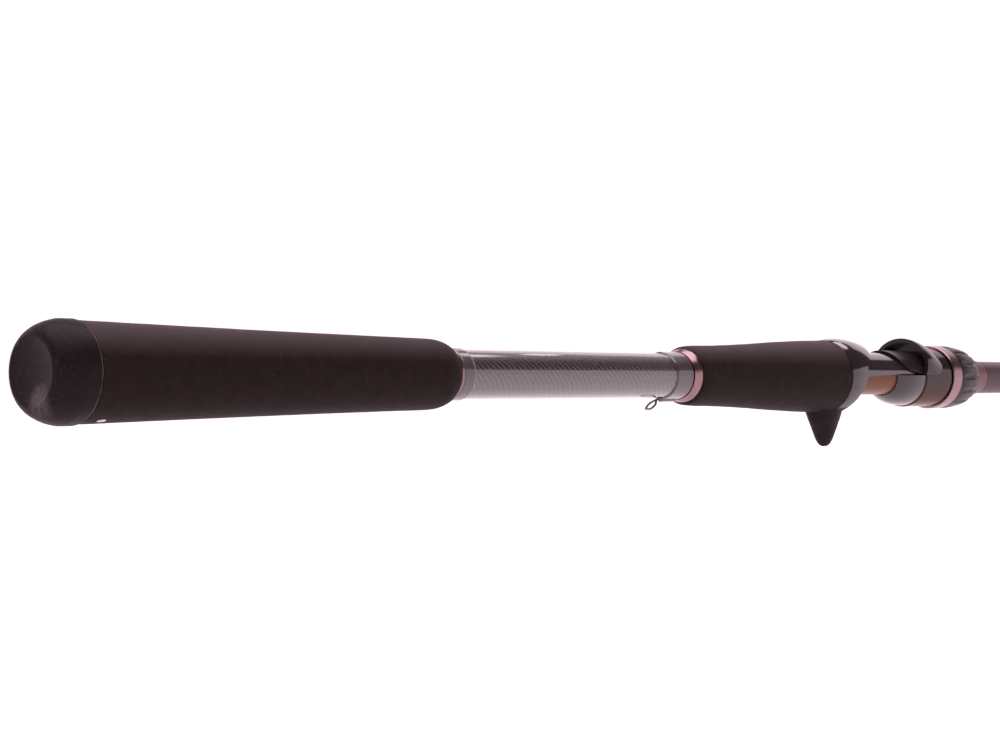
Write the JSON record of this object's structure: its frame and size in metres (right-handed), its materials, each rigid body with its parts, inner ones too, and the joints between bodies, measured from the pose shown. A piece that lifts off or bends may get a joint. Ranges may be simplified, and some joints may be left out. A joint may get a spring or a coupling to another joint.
{
  "type": "casting fishing rod",
  "caption": "One-piece casting rod with split foam handle, trigger reel seat with screw-locked sliding hood, tapered carbon blank and line guides.",
  "frame": {"origin": "centre of the butt cap's flat end land, on the rod's axis", "axes": "+X along the rod from butt to tip; +Z towards the reel and the guides; the trigger hangs towards -Z"},
  "size_m": [1.983, 0.0304, 0.0572],
  "materials": {
    "rubber_black": "satin",
    "foam_black": "matte",
    "rose_metal": "satin",
    "thread_black": "gloss",
    "thread_violet": "gloss",
    "carbon_woven": "gloss",
    "carbon_amber": "gloss",
    "wire_dark": "polished",
    "seat_black": "gloss",
    "arbor": "matte",
    "frame_dark": "polished",
    "ring_ceramic": "polished"
  },
  "bodies": {
    "rod": {"barrel_arbor": "arbor", "blank": "carbon_amber", "butt_cap": "rubber_black", "butt_sleeve": "carbon_woven", "fore_grip": "foam_black", "front_winding_check": "rose_metal", "front_wrap": "thread_violet", "front_wrap_band": "thread_violet", "guide_1_frame": "frame_dark", "guide_1_ring": "ring_ceramic", "guide_1_wraps": "thread_violet", "guide_2_frame": "frame_dark", "guide_2_ring": "ring_ceramic", "guide_2_wraps": "thread_violet", "guide_3_frame": "frame_dark", "guide_3_ring": "ring_ceramic", "guide_3_wraps": "thread_violet", "guide_4_frame": "frame_dark", "guide_4_ring": "ring_ceramic", "guide_4_wraps": "thread_violet", "guide_5_frame": "frame_dark", "guide_5_ring": "ring_ceramic", "guide_5_wraps": "thread_violet", "guide_6_frame": "frame_dark", "guide_6_ring": "ring_ceramic", "guide_6_wraps": "thread_violet", "guide_7_frame": "frame_dark", "guide_7_ring": "ring_ceramic", "guide_7_wraps": "thread_violet", "guide_8_frame": "frame_dark", "guide_8_ring": "ring_ceramic", "guide_8_wraps": "thread_violet", "hook_keeper": "wire_dark", "keeper_wrap": "thread_black", "rear_grip": "foam_black", "rear_trim_wrap": "thread_black", "rear_winding_check": "rose_metal", "seat_arbors": "arbor", "seat_body": "seat_black", "seat_winding_check": "rose_metal", "tip_guide_frame": "frame_dark", "tip_guide_ring": "ring_ceramic", "tip_guide_wrap": "thread_violet"},
    "hood": {"sliding_hood": "seat_black", "hood_liner": "seat_black"},
    "nut": {"nut_core": "seat_black", "nut_grip": "seat_black", "nut_trim_ring": "rose_metal"}
  },
  "joints": [
    {"name": "hood_slide", "type": "slide", "parent": "rod", "child": "hood", "axis": [1, 0, 0], "range_m": [0, 0.014]},
    {"name": "nut_turn", "type": "hinge", "parent": "hood", "child": "nut", "pos_m": [0.4656, 0, 0], "axis": [1, 0, 0], "range_deg": [0, 2520]}
  ],
  "couplings": [
    {"joint": "hood_slide", "follows": "nut_turn", "m_per_rad": 0.00031831}
  ]
}
